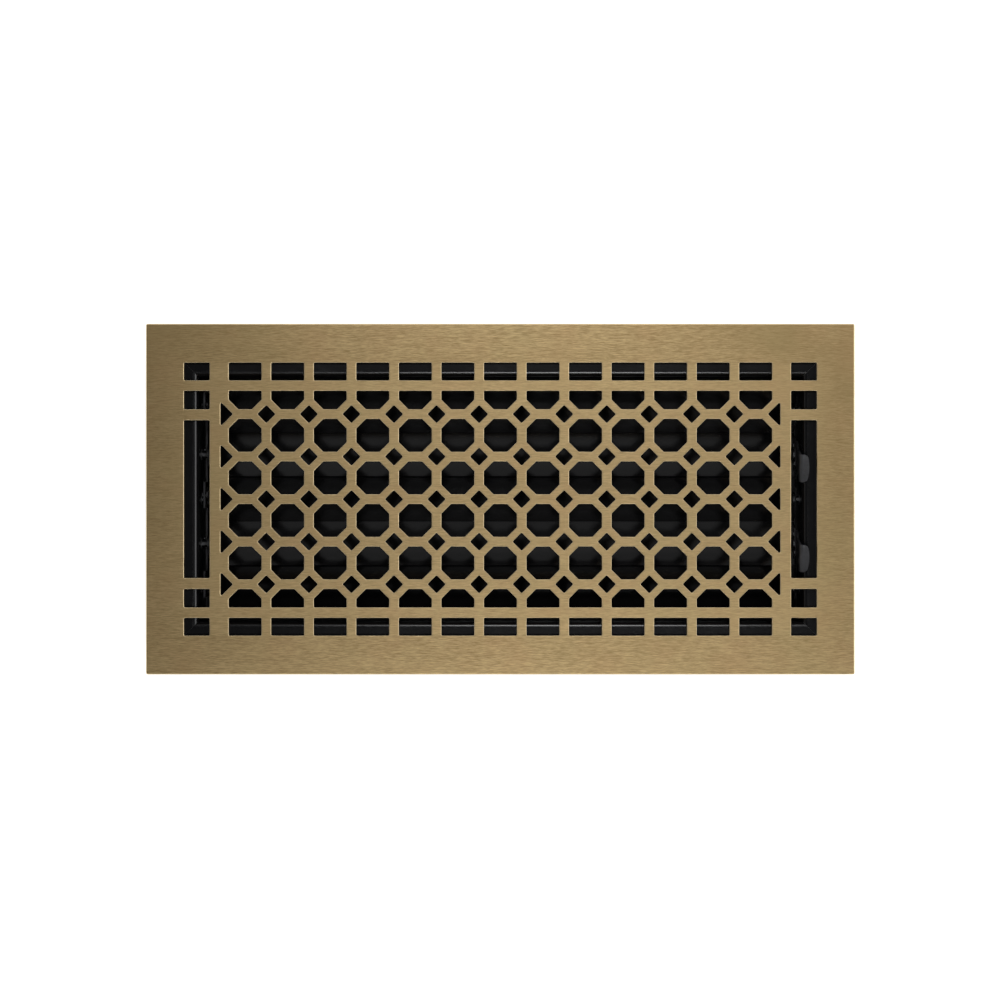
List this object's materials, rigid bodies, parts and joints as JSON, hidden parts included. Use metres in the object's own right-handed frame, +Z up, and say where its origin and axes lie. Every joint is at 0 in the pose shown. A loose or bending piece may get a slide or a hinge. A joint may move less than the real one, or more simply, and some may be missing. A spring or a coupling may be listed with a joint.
{
  "type": "floor register",
  "caption": "Louvred air grille: pierced cast brass floor plate over a sheet-metal box whose linked louvres are set by thumb levers.",
  "frame": {"origin": "centre of the seat ring under the faceplate's rim, in the plane of the floor", "axes": "+Z up through the faceplate into the room, +X along its length towards the levers, +Y across it"},
  "size_m": [0.4, 0.198, 0.0483],
  "materials": {
    "brass_face": "brushed antique brass",
    "black_box": "gloss black paint",
    "black_blade": "satin black paint",
    "dark_lever": "dark grey paint",
    "zinc": "dull zinc plate",
    "steel": "dark plated steel",
    "nylon": "moulded nylon"
  },
  "bodies": {
    "housing": {"faceplate": "brass_face", "rear_side_wall": "black_box", "front_side_wall": "black_box", "left_end_wall": "black_box", "right_end_wall": "black_box", "corner_rivets": "black_box", "flange_screws": "steel", "left_bushes": "nylon", "right_bushes": "nylon"},
    "blade_1": {"louvre_1": "black_blade", "pivot_pins_1": "steel", "crank_1": "zinc", "crank_pin_1": "steel"},
    "blade_2": {"louvre_2": "black_blade", "pivot_pins_2": "steel", "crank_2": "zinc", "crank_pin_2": "steel", "rear_lever": "dark_lever", "rear_lever_rivets": "steel"},
    "blade_3": {"louvre_3": "black_blade", "pivot_pins_3": "steel", "crank_3": "zinc", "crank_pin_3": "steel"},
    "blade_4": {"louvre_4": "black_blade", "pivot_pins_4": "steel", "crank_4": "zinc", "crank_pin_4": "steel", "front_lever": "dark_lever", "front_lever_rivets": "steel"},
    "blade_5": {"louvre_5": "black_blade", "pivot_pins_5": "steel", "crank_5": "zinc", "crank_pin_5": "steel"},
    "link": {"drive_bar": "zinc"}
  },
  "joints": [
    {"name": "louvre_2_pivot", "type": "hinge", "parent": "housing", "child": "blade_2", "pos_m": [0, 0.0254, -0.014], "axis": [-1, 0, 0], "range_deg": [0, 45]},
    {"name": "louvre_4_pivot", "type": "hinge", "parent": "housing", "child": "blade_4", "pos_m": [0, -0.0254, -0.014], "axis": [-1, 0, 0], "range_deg": [0, 45]},
    {"name": "louvre_1_pivot", "type": "hinge", "parent": "housing", "child": "blade_1", "pos_m": [0, 0.0508, -0.014], "axis": [1, 0, 0], "range_deg": [0, 45]},
    {"name": "louvre_3_pivot", "type": "hinge", "parent": "housing", "child": "blade_3", "pos_m": [0, 0, -0.014], "axis": [1, 0, 0], "range_deg": [0, 45]},
    {"name": "louvre_5_pivot", "type": "hinge", "parent": "housing", "child": "blade_5", "pos_m": [0, -0.0508, -0.014], "axis": [1, 0, 0], "range_deg": [0, 45]},
    {"name": "link_pin", "type": "hinge", "parent": "blade_2", "child": "link", "pos_m": [-0.1679, 0.02789, -0.02001], "axis": [-1, 0, 0], "range_deg": [-45, 0]}
  ],
  "couplings": [
    {"joint": "louvre_4_pivot", "follows": "louvre_2_pivot", "ratio": 1},
    {"joint": "louvre_1_pivot", "follows": "louvre_2_pivot", "ratio": 1},
    {"joint": "louvre_3_pivot", "follows": "louvre_2_pivot", "ratio": 1},
    {"joint": "louvre_5_pivot", "follows": "louvre_2_pivot", "ratio": 1},
    {"joint": "link_pin", "follows": "louvre_2_pivot", "ratio": -1}
  ]
}
